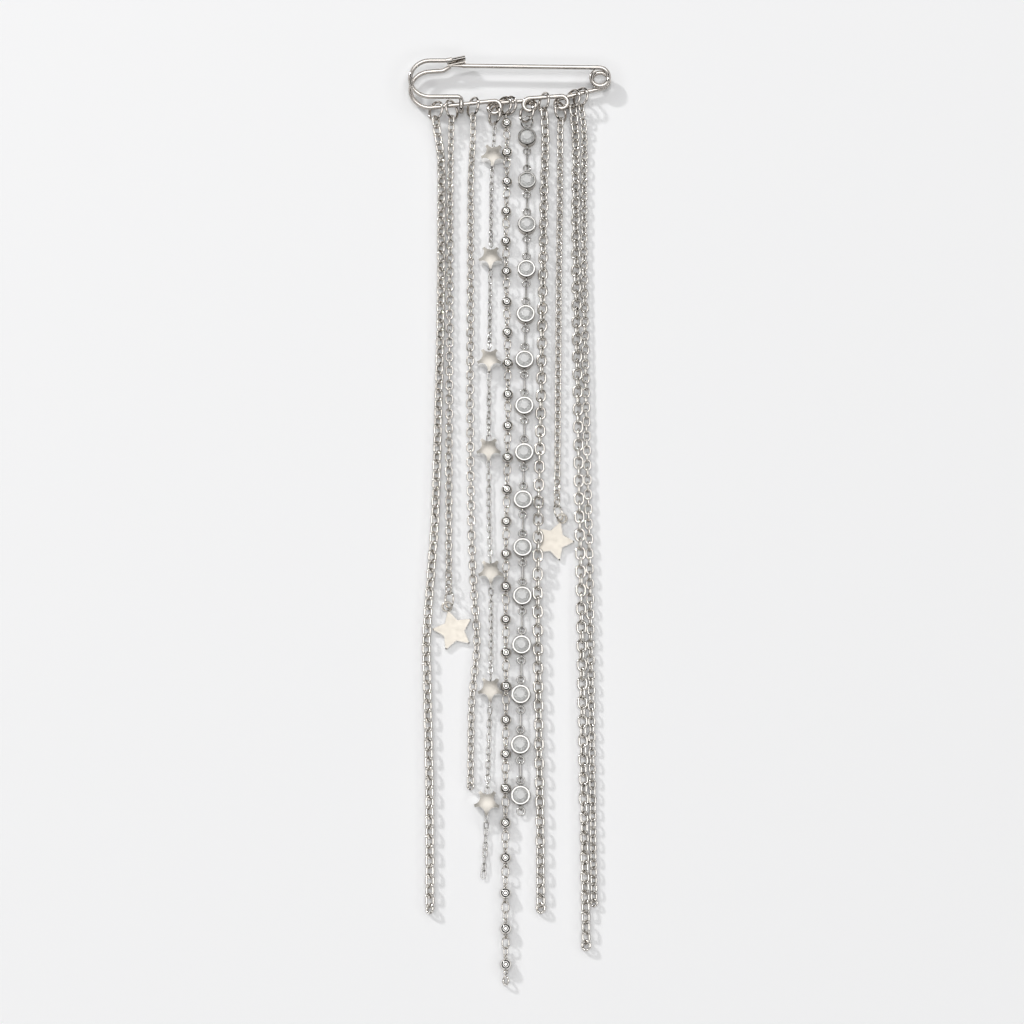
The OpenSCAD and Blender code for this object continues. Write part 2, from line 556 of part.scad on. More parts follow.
// Round cut stones: table, two rows of crown facets, girdle and pavilion
module crystals() color([0.9, 0.95, 1, 0.6])
    for (i = [0:cup_count - 1]) translate(cup_at[i] + [0, 0, 0.42]) {
    belt = crystal_height * 0.55;
    crown = crystal_height - belt - 0.12;
    intersection() {
        union() {
            cylinder(h = belt, r1 = 0.15, r2 = stone_r, $fn = facets);
            translate([0, 0, belt]) cylinder(h = 0.12, r = stone_r, $fn = facets);
            translate([0, 0, belt + 0.12])
                cylinder(h = crown, r1 = stone_r, r2 = stone_r * 0.52, $fn = facets);
        }
        rotate(180 / facets) union() {
            cylinder(h = belt, r1 = stone_r * 0.35, r2 = stone_r, $fn = facets);
            translate([0, 0, belt]) cylinder(h = 0.12, r = stone_r, $fn = facets);
            translate([0, 0, belt + 0.12])
                cylinder(h = crown, r1 = stone_r, r2 = stone_r * 0.64, $fn = facets);
        }
    }
}
module crystal_links() color([0.74, 0.74, 0.77]) {
    for (i = [0:cup_count - 2]) {
        a = cup_at[i];
        b = cup_at[i + 1];
        u = (b - a) / norm(b - a);
        for (p = [a + u * small_off, b - u * small_off])
            translate(p + [0, 0, f_z]) hoop(small_r, crystal_wire / 2);
        place((a + b) / 2 + [0, 0, f_z], u, [0, 0, 1])
            oval(norm(b - a) - 2 * bow_off + crystal_wire, long_width, crystal_wire);
    }
    // From the first cup up to the ring in the pin's middle eye
    wire_at = at_f - [0, ring_r, 0];
    low = cup_at[0] + [0, eye_off, f_z];
    span = wire_at - low;
    u = span / norm(span);
    place(low + u * top_r, u, cross([0, 0, 1], u) / norm(cross([0, 0, 1], u)))
        rotate([15, 0, 0]) hoop(top_r, crystal_wire / 2);
    // Below the last cup
    w = (cup_at[cup_count] - cup_at[cup_count - 1]) / cup_pitch;
    translate(cup_at[cup_count - 1] + w * small_off + [0, 0, f_z]) hoop(small_r, crystal_wire / 2);
}
top_slack = 0.72;
top_r = (norm(at_f - [0, ring_r, 0] - cup_at[0] - [0, eye_off, f_z])
    + (ring_wire + crystal_wire) / 2 + top_slack) / 2;

silver = [0.77, 0.77, 0.8];
tube_gap = ring_wire / 2 + 0.15;
side_h = n_h % 2 == 0 ? 1 : -1;
module jump_ring_a() jump(at_a, on_a);
module jump_ring_b() jump(at_b, on_b);
module jump_ring_c() jump(at_c, on_c);
module jump_ring_d() jump(at_d, in_d);
module jump_ring_e1() jump(at_e1, on_e1);
module jump_ring_e2() jump(at_e2, on_e2);
module jump_ring_f() jump(at_f, in_f);
module jump_ring_g() jump(at_g, on_g);
module jump_ring_h() jump(at_h, in_h);
module jump_ring_i() jump(at_i, on_i);
module jump_ring_j() jump(at_j, on_j);
module chain_a() color(silver) links(path_a, n_a, heavy_length, heavy_width, heavy_wire, on_a[2]);
module end_ring_a() color(silver) closing(path_a, s_a, end_heavy, heavy_wire, n_a % 2 == 0 ? -45 : 45);
module strand_b() color(silver)
    strand(path_b, tube_gap, s_b - charm_wire / 2 - 0.15, light_width * 0.4, light_width * 2.25);
module charm_ring_b() charm_ring_on(path_b, s_b, 1, 4);
module star_charm_b() star_charm(path_b, s_b, 1, 4, 15);
module strand_c() color(silver)
    strand(path_c, tube_gap, s_c - light_wire / 2 - 0.15, light_width * 0.4, light_width * 2.25);
module end_ring_c() color(silver) closing(path_c, s_c, end_light, light_wire, 30);
module strand_d() color(silver) tube(d_points, thread / 2);
module star_bead_1() star_bead(0);
module star_bead_2() star_bead(1);
module star_bead_3() star_bead(2);
module star_bead_4() star_bead(3);
module star_bead_5() star_bead(4);
module star_bead_6() star_bead(5);
module star_bead_7() star_bead(6);
module strand_e() color(silver) tube(e_ends, thread / 2);
module end_ring_e() color(silver) leaning([e_end[0], e_end[1], ring_z(40, 0.85, light_wire)], 40, 0.85,
    light_wire / 2);
module strand_g() color(silver)
    strand(path_g, tube_gap, s_g - heavy_wire / 2 - 0.15, heavy_z - 0.01, heavy_width * 2.3);
module end_ring_g() color(silver) closing(path_g, s_g, end_heavy, heavy_wire, 30);
module chain_h() color(silver) links(path_h, n_h, light_length, light_width, light_wire, in_h[2]);
module charm_ring_h() charm_ring_on(path_h, s_h, side_h, 10);
module star_charm_h() star_charm(path_h, s_h, side_h, 10, -20);
module strand_i() color(silver)
    strand(path_i, tube_gap, s_i - heavy_wire / 2 - 0.15, heavy_z - 0.01, heavy_width * 2.3);
module end_ring_i() color(silver) closing(path_i, s_i, end_heavy, heavy_wire, 30);
module strand_j() color(silver)
    strand(path_j, tube_gap, s_j - light_wire / 2 - 0.15, light_width * 0.4, light_width * 2.25);
module end_ring_j() color(silver) closing(path_j, s_j, end_light, light_wire, 30);

pin_frame();
pin_front();
pin_cap();
pin_arm();
jump_ring_a();
jump_ring_b();
jump_ring_c();
jump_ring_d();
jump_ring_e1();
jump_ring_e2();
jump_ring_f();
jump_ring_g();
jump_ring_h();
jump_ring_i();
jump_ring_j();
chain_a();
end_ring_a();
strand_b();
charm_ring_b();
star_charm_b();
strand_c();
end_ring_c();
strand_d();
star_bead_1();
star_bead_2();
star_bead_3();
star_bead_4();
star_bead_5();
star_bead_6();
star_bead_7();
strand_e();
satellite_balls();
end_ring_e();
crystal_cups();
crystals();
crystal_links();
strand_g();
end_ring_g();
chain_h();
charm_ring_h();
star_charm_h();
strand_i();
end_ring_i();
strand_j();
end_ring_j();
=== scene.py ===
# %% [markdown]
# A lapel chain is a three-loop safety pin with ten chains hung from its lower bar.
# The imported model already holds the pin, the rings, the stars, the cups and two of the chains as solids.
# This lesson loads that model, leaves every solid where it is, makes the real links of the other chains
# along the plain tubes that stand for them, and gives each piece its finish.

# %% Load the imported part
import math

import bpy
import numpy as np
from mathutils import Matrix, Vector


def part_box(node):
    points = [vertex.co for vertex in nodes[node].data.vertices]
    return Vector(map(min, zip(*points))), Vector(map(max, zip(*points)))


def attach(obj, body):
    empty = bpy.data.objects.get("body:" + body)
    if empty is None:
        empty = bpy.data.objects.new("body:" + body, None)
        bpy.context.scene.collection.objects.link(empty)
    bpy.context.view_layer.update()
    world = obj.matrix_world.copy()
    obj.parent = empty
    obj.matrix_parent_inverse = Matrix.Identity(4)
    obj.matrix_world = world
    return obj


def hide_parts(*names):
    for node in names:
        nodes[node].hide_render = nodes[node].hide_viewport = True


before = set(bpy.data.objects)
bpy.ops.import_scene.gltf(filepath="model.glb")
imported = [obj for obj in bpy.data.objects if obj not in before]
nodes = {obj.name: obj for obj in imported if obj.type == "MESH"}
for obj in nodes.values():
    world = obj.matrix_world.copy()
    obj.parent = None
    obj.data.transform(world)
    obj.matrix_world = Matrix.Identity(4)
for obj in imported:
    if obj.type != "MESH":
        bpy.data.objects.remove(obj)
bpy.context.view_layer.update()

MM = 0.001

# %% [markdown]
# The photograph looks down on the jewel from steeply above, a little from the lower end.
# A long lens from half a metre away keeps the chains parallel. The camera is aimed at a point near the
# middle of the jewel, so it can be described by two points and a focal length.

# %% The camera
CAMERA_AT = Vector((0.55, -131.19, 475.9)) * MM
CAMERA_TO = Vector((0.55, -3.69, 0)) * MM
LENS = 74.76
SENSOR = 36

camera_data = bpy.data.cameras.new("studio_camera")
camera_data.lens = LENS
camera_data.sensor_width = SENSOR
camera_data.clip_start = 0.01
camera = bpy.data.objects.new("studio_camera", camera_data)
camera.location = CAMERA_AT
camera.rotation_euler = (CAMERA_TO - CAMERA_AT).to_track_quat("-Z", "Y").to_euler()
bpy.context.scene.collection.objects.link(camera)
bpy.context.scene.camera = camera
print("camera distance in mm:", round((CAMERA_TO - CAMERA_AT).length / MM, 1))

# %% [markdown]
# Small jewels are photographed on white board. One light stands low at the upper left and throws the
# short shadows, and a pale tent above fills them in. The tent is the world. Its roof is bright, and a dark
# band lies between the roof and a second bright band lower down. Below that band the tent is black, down
# to the horizon. Round wire mirrors these bands as thin lines, which is what makes it look polished.

# %% The floor, the tent and the light
FLOOR_SIZE = 4.0
FLOOR_DROP = 0.00002
LIGHT_FROM = Vector((-1.3, 1.3, 1.0)).normalized()
LIGHT_AWAY = 2.5
LIGHT_SIZE = 0.2
LIGHT_POWER = 24.0
BOARD = (0.93, 0.93, 0.935, 1)
BOARD_ROUGHNESS = 0.85
BOARD_GLOSS = 0.15
TENT_STRENGTH = 2.05
TENT_HORIZON = 0.0
TENT_ROOF = 1.15
TENT_BANDS = ((0.5, 0.0), (0.54, 0.9), (0.66, 0.9), (0.7, 0.01), (0.9, 0.01), (0.93, 1.25))


def floor_material():
    material = bpy.data.materials.new("white_board")
    material.use_nodes = True
    shader = material.node_tree.nodes["Principled BSDF"]
    shader.inputs["Base Color"].default_value = BOARD
    shader.inputs["Roughness"].default_value = BOARD_ROUGHNESS
    shader.inputs["Specular IOR Level"].default_value = BOARD_GLOSS
    return material


def make_floor():
    half = FLOOR_SIZE / 2
    corners = [(-half, -half, -FLOOR_DROP), (half, -half, -FLOOR_DROP), (half, half, -FLOOR_DROP),
               (-half, half, -FLOOR_DROP)]
    mesh = bpy.data.meshes.new("floor")
    mesh.from_pydata(corners, [], [(0, 1, 2, 3)])
    mesh.materials.append(floor_material())
    floor = bpy.data.objects.new("floor", mesh)
    bpy.context.scene.collection.objects.link(floor)
    return floor


def make_light():
    data = bpy.data.lights.new("side_light", "AREA")
    data.shape = "DISK"
    data.size = LIGHT_SIZE
    data.energy = LIGHT_POWER
    light = bpy.data.objects.new("side_light", data)
    light.location = CAMERA_TO + LIGHT_FROM * LIGHT_AWAY
    light.rotation_euler = (-LIGHT_FROM).to_track_quat("-Z", "Y").to_euler()
    bpy.context.scene.collection.objects.link(light)
    return light


def grey(value):
    return (value, value, value, 1)


def make_tent():
    world = bpy.data.worlds.new("light_tent")
    world.use_nodes = True
    tree = world.node_tree
    background = tree.nodes["Background"]
    background.inputs["Strength"].default_value = TENT_STRENGTH
    coordinates = tree.nodes.new("ShaderNodeTexCoord")
    split = tree.nodes.new("ShaderNodeSeparateXYZ")
    ramp = tree.nodes.new("ShaderNodeValToRGB")
    stops = ramp.color_ramp.elements
    stops[0].position = 0.0
    stops[0].color = grey(TENT_HORIZON)
    stops[1].position = 1.0
    stops[1].color = grey(TENT_ROOF)
    for height, brightness in TENT_BANDS:
        stops.new(height).color = grey(brightness)
    tree.links.new(coordinates.outputs["Generated"], split.inputs["Vector"])
    tree.links.new(split.outputs["Z"], ramp.inputs["Fac"])
    tree.links.new(ramp.outputs["Color"], background.inputs["Color"])
    bpy.context.scene.world = world
    return world


make_floor()
make_light()
make_tent()
bpy.context.scene.view_settings.view_transform = "Standard"
shadow = math.hypot(LIGHT_FROM.x, LIGHT_FROM.y) / LIGHT_FROM.z
print("shadow length for each mm of height:", round(shadow, 2))

# %% [markdown]
# Plated wire is never one even tone. Handling leaves faint rubbed patches, and the plating has soft blotches
# of a duller tone. Both come from noise laid through space, so no piece needs an unwrapped surface. On top
# of that, painted shade darkens what faces sideways or down. They are node groups, built once and given
# other values in each material.

# %% Rubbed plating, as a node group
NOISE_LOW = 0.3
NOISE_HIGH = 0.7
PATCH_DETAIL = 4
SCRATCH_DETAIL = 2


def new_group(name, inputs, outputs):
    tree = bpy.data.node_groups.new(name, "ShaderNodeTree")
    for label, kind, value in inputs:
        socket = tree.interface.new_socket(name=label, in_out="INPUT", socket_type=kind)
        socket.default_value = value
    for label, kind in outputs:
        tree.interface.new_socket(name=label, in_out="OUTPUT", socket_type=kind)
    return tree, tree.nodes.new("NodeGroupInput"), tree.nodes.new("NodeGroupOutput")


def noise(tree, scale, detail):
    coordinates = tree.nodes.new("ShaderNodeTexCoord")
    texture = tree.nodes.new("ShaderNodeTexNoise")
    texture.inputs["Detail"].default_value = detail
    tree.links.new(coordinates.outputs["Object"], texture.inputs["Vector"])
    if isinstance(scale, (int, float)):
        texture.inputs["Scale"].default_value = scale
    else:
        tree.links.new(scale, texture.inputs["Scale"])
    return texture.outputs["Fac"]


def spread(tree, value, low, high, start=NOISE_LOW, end=NOISE_HIGH):
    """What runs from start to end, spread from low to high instead."""
    ranged = tree.nodes.new("ShaderNodeMapRange")
    ranged.inputs["From Min"].default_value = start
    ranged.inputs["From Max"].default_value = end
    tree.links.new(value, ranged.inputs["Value"])
    for socket, source in (("To Min", low), ("To Max", high)):
        if isinstance(source, (int, float)):
            ranged.inputs[socket].default_value = source
        else:
            tree.links.new(source, ranged.inputs[socket])
    return ranged.outputs["Result"]


def rubbed_group():
    tree, given, result = new_group(
        "rubbed_plating",
        [("Scale", "NodeSocketFloat", 400.0), ("Smooth", "NodeSocketFloat", 0.08),
         ("Rubbed", "NodeSocketFloat", 0.25), ("Scratch scale", "NodeSocketFloat", 4000.0)],
        [("Roughness", "NodeSocketFloat"), ("Scratches", "NodeSocketFloat")])
    patches = noise(tree, given.outputs["Scale"], PATCH_DETAIL)
    tree.links.new(spread(tree, patches, given.outputs["Smooth"], given.outputs["Rubbed"]),
                   result.inputs["Roughness"])
    scratches = noise(tree, given.outputs["Scratch scale"], SCRATCH_DETAIL)
    tree.links.new(scratches, result.inputs["Scratches"])
    return tree


RUBBED = rubbed_group()
print("group:", RUBBED.name, [socket.name for socket in RUBBED.interface.items_tree])

# %% [markdown]
# This group does two things. It mottles the plating with soft blotches of a duller tone, which is the
# metal's own uneven tone. It also paints shade on what faces sideways or down, where the links shade each
# other and turn away from the light. That painted dark edge is what lets the eye tell one link from the
# next.

# %% Mottled plating and painted shade, as a node group
# Painted shade: its colour, and the height of the normal over which it fades out, from UNDER_FROM to
# UNDER_TO.
UNDER_FROM = 0.1
UNDER_TO = 0.6
PAINTED_UNDERSIDE_SHADE = (0.42, 0.39, 0.355, 1)
BLOTCH_DETAIL = 5
MIX_FIRST = 6
MIX_SECOND = 7
MIX_RESULT = 2


def blend(tree, share, first, second):
    """The first colour where the share is 0, the second where it is 1."""
    mix = tree.nodes.new("ShaderNodeMix")
    mix.data_type = "RGBA"
    tree.links.new(share, mix.inputs["Factor"])
    tree.links.new(first, mix.inputs[MIX_FIRST])
    tree.links.new(second, mix.inputs[MIX_SECOND])
    return mix.outputs[MIX_RESULT]


def facing_up(tree):
    """The height part of the surface's normal: 1 on top, 0 on an upright face, less than 0 below."""
    surface = tree.nodes.new("ShaderNodeNewGeometry")
    split = tree.nodes.new("ShaderNodeSeparateXYZ")
    tree.links.new(surface.outputs["Normal"], split.inputs["Vector"])
    return split.outputs["Z"]


def mottle_and_shade_group():
    tree, given, result = new_group(
        "mottled_plating_painted_shade",
        [("Clean", "NodeSocketColor", (0.8, 0.8, 0.8, 1)), ("Dull", "NodeSocketColor", (0.6, 0.6, 0.6, 1)),
         ("Painted shade", "NodeSocketColor", PAINTED_UNDERSIDE_SHADE), ("Scale", "NodeSocketFloat", 160.0),
         ("Amount", "NodeSocketFloat", 0.5)],
        [("Color", "NodeSocketColor")])
    blotches = spread(tree, noise(tree, given.outputs["Scale"], BLOTCH_DETAIL), 0.0, given.outputs["Amount"])
    skin = blend(tree, blotches, given.outputs["Clean"], given.outputs["Dull"])
    # Painted shade: the shade colour where the surface faces sideways or down, fading to the mottled plating
    # where it faces up.
    above = spread(tree, facing_up(tree), 0.0, 1.0, UNDER_FROM, UNDER_TO)
    tree.links.new(blend(tree, above, given.outputs["Painted shade"], skin), result.inputs["Color"])
    return tree


MOTTLE_AND_SHADE = mottle_and_shade_group()
print("group:", MOTTLE_AND_SHADE.name, [socket.name for socket in MOTTLE_AND_SHADE.interface.items_tree])

# %% [markdown]
# A metal in Blender is a Principled shader with Metallic at 1. Its colour is that of the reflection,
# and its roughness says how sharp the reflection is. Each metal here takes its colour from the group of
# mottled plating and painted shade, its roughness from the rubbed group, and a very faint bump from the same
# scratches.

# %% The metals
BUMP_HEIGHT = 0.02 * MM


def use_group(tree, group, values):
    node = tree.nodes.new("ShaderNodeGroup")
    node.node_tree = group
    for name, value in values.items():
        node.inputs[name].default_value = value
    return node


def plated(name, clean, dull, smooth, rubbed, patch=400.0, scratch=4000.0, depth=0.04, amount=0.6):
    material = bpy.data.materials.new(name)
    material.use_nodes = True
    tree = material.node_tree
    shader = tree.nodes["Principled BSDF"]
    shader.inputs["Metallic"].default_value = 1.0
    # Base colour: mottled plating, with painted shade on what faces sideways or down.
    colour = use_group(tree, MOTTLE_AND_SHADE, {"Clean": (*clean, 1), "Dull": (*dull, 1), "Amount": amount})
    surface = use_group(tree, RUBBED, {"Scale": patch, "Smooth": smooth, "Rubbed": rubbed,
                                       "Scratch scale": scratch})
    bump = tree.nodes.new("ShaderNodeBump")
    bump.inputs["Strength"].default_value = depth
    bump.inputs["Distance"].default_value = BUMP_HEIGHT
    tree.links.new(colour.outputs["Color"], shader.inputs["Base Color"])
    tree.links.new(surface.outputs["Roughness"], shader.inputs["Roughness"])
    tree.links.new(surface.outputs["Scratches"], bump.inputs["Height"])
    tree.links.new(bump.outputs["Normal"], shader.inputs["Normal"])
    return material


PIN_STEEL = plated("polished_pin_steel", (0.78, 0.735, 0.69), (0.58, 0.545, 0.51), 0.05, 0.14)
CHAIN_SILVER = plated("silvered_chain", (0.98, 0.945, 0.895), (0.74, 0.705, 0.655), 0.03, 0.12)
FINE_SILVER = plated("silvered_fine_chain", (0.78, 0.77, 0.75), (0.58, 0.565, 0.54), 0.08, 0.2, patch=700.0)
BRIGHT_BALLS = plated("bright_balls", (0.96, 0.94, 0.91), (0.72, 0.7, 0.67), 0.03, 0.1)
CUP_SILVER = plated("silvered_cups", (0.6, 0.59, 0.57), (0.4, 0.395, 0.38), 0.05, 0.14)
print("metals:", [m.name for m in bpy.data.materials if m.name != "white_board"])

# %% [markdown]
# The stars are tumbled to a satin skin, and their edges are buffed smooth. So the roughness follows the
# height part of the surface's normal: what lies flat on top is satin, and the steep rim is polished. The
# colour follows it too, as painted
# light: a painted highlight makes the steep rim bright, and the flat top is painted darker. On the puffed
# star beads that leaves a satin middle in a polished rim with a painted highlight, and on the flat star
# charms a thin painted bright edge.
# Both kinds of star need it, so it is a node group of its own.

# %% The satin stars
# Heights of the normal between which the colour turns from the painted rim highlight to the darker top, and
# the roughness from buffed to satin.
SATIN_FACES = 0.95
BRIGHT_FACES = 0.78
WORN_MORE = 0.08


def buffed_highlight_group():
    tree, given, result = new_group(
        "buffed_edges_painted_highlight",
        [("Skin", "NodeSocketColor", (0.5, 0.5, 0.5, 1)), ("Edge highlight", "NodeSocketColor", (0.9, 0.9, 0.9, 1)),
         ("Satin", "NodeSocketFloat", 0.34), ("Buffed", "NodeSocketFloat", 0.1)],
        [("Color", "NodeSocketColor"), ("Roughness", "NodeSocketFloat")])
    height = facing_up(tree)
    # Painted light: the colour runs from the rim highlight on steep faces to the darker skin on flat tops;
    # the roughness from buffed to satin is a real finish.
    share = spread(tree, height, 0.0, 1.0, BRIGHT_FACES, SATIN_FACES)
    finish = spread(tree, height, given.outputs["Buffed"], given.outputs["Satin"], BRIGHT_FACES, SATIN_FACES)
    tree.links.new(blend(tree, share, given.outputs["Edge highlight"], given.outputs["Skin"]), result.inputs["Color"])
    tree.links.new(finish, result.inputs["Roughness"])
    return tree


BUFFED_HIGHLIGHT = buffed_highlight_group()


def satin(name, clean, dull, edge_highlight, dull_finish, bright_finish):
    material = plated(name, clean, dull, dull_finish, dull_finish + WORN_MORE, patch=900.0,
                      scratch=9000.0, depth=0.12)
    tree = material.node_tree
    shader = tree.nodes["Principled BSDF"]
    # The group paints a highlight on the steep rim, keeps the darker skin on the tops, and sets the
    # roughness.
    buffed_highlight_node = use_group(tree, BUFFED_HIGHLIGHT, {"Edge highlight": (*edge_highlight, 1), "Buffed": bright_finish})
    for plain, given, made in (("Base Color", "Skin", "Color"), ("Roughness", "Satin", "Roughness")):
        tree.links.new(shader.inputs[plain].links[0].from_socket, buffed_highlight_node.inputs[given])
        tree.links.new(buffed_highlight_node.outputs[made], shader.inputs[plain])
    return material


STAR_SATIN = satin("satin_star_bead", clean=(0.54, 0.51, 0.465), dull=(0.4, 0.38, 0.345),
                   edge_highlight=(0.92, 0.91, 0.89), dull_finish=0.34, bright_finish=0.03)
CHARM_SATIN = satin("satin_star_charm", clean=(0.53, 0.495, 0.44), dull=(0.44, 0.41, 0.365),
                    edge_highlight=(0.9, 0.88, 0.84), dull_finish=0.32, bright_finish=0.1)
print("group:", BUFFED_HIGHLIGHT.name, [socket.name for socket in BUFFED_HIGHLIGHT.interface.items_tree])
print("satin metals:", STAR_SATIN.name, CHARM_SATIN.name)

# %% [markdown]
# The crystals are clear cut glass over a bright foil, which is how such stones are backed in a closed cup.
# The glass lets about half of the light through and the rest comes back white from the foil. Its facets do
# the rest, so the surface stays plain. A little uneven polish, from the rubbed group, keeps the facets from
# looking computed.

# %% The crystal
GLASS_COLOUR = (1.0, 1.0, 0.99, 1)
GLASS_CLEAR = 0.45
GLASS_INDEX = 1.52


def crystal_glass():
    material = bpy.data.materials.new("clear_crystal")
    material.use_nodes = True
    tree = material.node_tree
    shader = tree.nodes["Principled BSDF"]
    shader.inputs["Base Color"].default_value = GLASS_COLOUR
    shader.inputs["Transmission Weight"].default_value = GLASS_CLEAR
    shader.inputs["IOR"].default_value = GLASS_INDEX
    surface = use_group(tree, RUBBED, {"Scale": 600.0, "Smooth": 0.0, "Rubbed": 0.05,
                                       "Scratch scale": 5000.0})
    tree.links.new(surface.outputs["Roughness"], shader.inputs["Roughness"])
    return material


CRYSTAL = crystal_glass()
print("glass:", CRYSTAL.name, "index:", GLASS_INDEX)

# %% [markdown]
# The solids of the imported model keep their own shapes, and only take a material. The table also
# names a slot for each piece, which the code doesn't use.

# %% Finish the solids that stay
FINISHES = [
    ("pin_", PIN_STEEL, "pin_metal"),
    ("jump_ring_", PIN_STEEL, "chain_metal"),
    ("end_ring_", CHAIN_SILVER, "chain_metal"),
    ("charm_ring_", CHAIN_SILVER, "chain_metal"),
    ("chain_", CHAIN_SILVER, "chain_metal"),
    ("star_bead_", STAR_SATIN, "satin"),
    ("star_charm_", CHARM_SATIN, "satin"),
    ("satellite_balls", BRIGHT_BALLS, "balls"),
    ("crystal_cups", CUP_SILVER, "chain_metal"),
    ("crystal_links", CUP_SILVER, "chain_metal"),
    ("crystals", CRYSTAL, "crystal"),
]


def finish_solid(name):
    for start, material, slot in FINISHES:
        if name.startswith(start):
            nodes[name].data.materials.clear()
            nodes[name].data.materials.append(material)
            return material.name
    return None


for solid in sorted(nodes):
    print(solid, "->", finish_solid(solid))

# %% [markdown]
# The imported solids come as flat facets. On round wire and on a polished ball the facets would flash one by
# one, so neighbouring facets are shaded as one skin wherever they meet at a small angle. Sharp edges, such
# as the rim of the cap or of a star, stay sharp. The cut crystals keep every facet flat, since their
# facets are what makes them sparkle.

# %% Smooth the round solids
SMOOTH_BELOW = 35.0
WELD_WITHIN = 0.001 * MM


def smooth_solid(piece):
    mesh = piece.data
    if "custom_normal" in mesh.attributes:
        mesh.attributes.remove(mesh.attributes["custom_normal"])
    mesh.polygons.foreach_set("use_smooth", [True] * len(mesh.polygons))
    weld = piece.modifiers.new("weld", "WELD")
    weld.merge_threshold = WELD_WITHIN
    split = piece.modifiers.new("sharp_edges", "EDGE_SPLIT")
    split.split_angle = math.radians(SMOOTH_BELOW)


smoothed = [name for name in sorted(nodes) if name != "crystals"]
for name in smoothed:
    smooth_solid(nodes[name])
print("smoothed solids:", len(smoothed))

# %% [markdown]
# A cable chain is bought by the metre. Each link is a wire bent to an oval with straight sides, and it
# holds the next at a right angle. Laid on a table, the links settle at 45 degrees to it, one to the
# left and the next to the right. One oval could be copied by a modifier along a curve, but then each
# link would bend with the curve. Here one oval is worked out as an array of points and set down stiff at
# each place, and all of a chain's links become one mesh.

# %% One link as an array
BOW_STEPS = 8
WIRE_SIDES = 6


def oval_link(length, width, wire):
    """Points and faces of a wire bent to an oval: long along x, wide along y."""
    radius = (width - wire) / 2
    half = max((length - width) / 2, 0.0)
    points = []
    for side, start in ((1, -90.0), (-1, 90.0)):
        for step in range(BOW_STEPS):
            angle = math.radians(start + 180.0 * step / (BOW_STEPS - 1))
            if half == 0.0:
                angle = math.radians(start + 180.0 * step / BOW_STEPS)
            out = np.array([math.cos(angle), math.sin(angle), 0.0])
            middle = np.array([side * half, 0.0, 0.0]) + radius * out
            for k in range(WIRE_SIDES):
                turn = 2 * math.pi * (k + 0.5) / WIRE_SIDES
                across = math.cos(turn) * out + math.sin(turn) * np.array([0, 0, 1.0])
                points.append(middle + wire / 2 * across)
    count = 2 * BOW_STEPS
    faces = [[i * WIRE_SIDES + k, ((i + 1) % count) * WIRE_SIDES + k,
              ((i + 1) % count) * WIRE_SIDES + (k + 1) % WIRE_SIDES, i * WIRE_SIDES + (k + 1) % WIRE_SIDES]
             for i in range(count) for k in range(WIRE_SIDES)]
    return np.array(points), np.array(faces)


print("points of one link:", len(oval_link(length=3.5, width=2.6, wire=0.6)[0]))

# %% [markdown]
# A link is set down by three axes: one along the chain, one across it after the link's roll, and the
# normal of both. Every link of a chain goes into one mesh, so a chain is one piece in the scene as it is
# one piece in the hand. A link that would reach below the table is lifted onto it.

# %% Many links as one mesh


def axes(along, roll):
    """Three axes of a link: along the chain, across it after a roll about the chain, and the normal."""
    u = along / np.linalg.norm(along)
    side = np.cross([0.0, 0.0, 1.0], u)
    side = side / np.linalg.norm(side)
    up = np.cross(u, side)
    v = side * math.cos(math.radians(roll)) + up * math.sin(math.radians(roll))
    return np.stack([u, v, np.cross(u, v)])


def joined(name, parts, material, stands_for=None):
    """One object from many (points, faces) arrays in millimetres. Nothing of it is below the table."""
    points, faces, start = [], [], 0
    for part_points, part_faces in parts:
        points.append(part_points + np.array([0.0, 0.0, max(0.0, -part_points[:, 2].min())]))
        faces.append(part_faces + start)
        start += len(part_points)
    corners = np.concatenate(points) * MM
    quads = np.concatenate(faces)
    mesh = bpy.data.meshes.new(name)
    mesh.from_pydata(corners.tolist(), [], quads.tolist())
    mesh.polygons.foreach_set("use_smooth", [True] * len(quads))
    mesh.materials.append(material)
    mesh.validate()
    piece = bpy.data.objects.new(name, mesh)
    bpy.context.scene.collection.objects.link(piece)
    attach(piece, "pin")
    if stands_for:
        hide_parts(stands_for)
    print(name, "links:", len(parts), "triangles:", 2 * len(quads))
    return piece


print("across a link that leans by 45:", axes(np.array([0.0, -1.0, 0.0]), 45.0)[1].round(2).tolist())

# %% [markdown]
# On a real pin the folded cap is crimped onto both ends of the wire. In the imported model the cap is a
# solid of its own and stands a little clear of them. Two short lengths of the same wire, each pushed
# from a wire's end straight into the cap, close those gaps.

# %% The crimped ends
PIN_WIRE = 1.1
CRIMP_LENGTH = 1.5
CRIMP_SIDES = 16
CRIMP_SHARE = 0.97


def short_wire(start, along, length, radius):
    side = np.cross([0.0, 0.0, 1.0], along)
    up = np.cross(along, side)
    turns = [2 * math.pi * k / CRIMP_SIDES for k in range(CRIMP_SIDES)]
    ring = radius * np.array([math.cos(t) * side + math.sin(t) * up for t in turns])
    faces = [[k, (k + 1) % CRIMP_SIDES, (k + 1) % CRIMP_SIDES + CRIMP_SIDES, k + CRIMP_SIDES]
             for k in range(CRIMP_SIDES)]
    return np.concatenate([start + ring, start + length * along + ring]), np.array(faces)


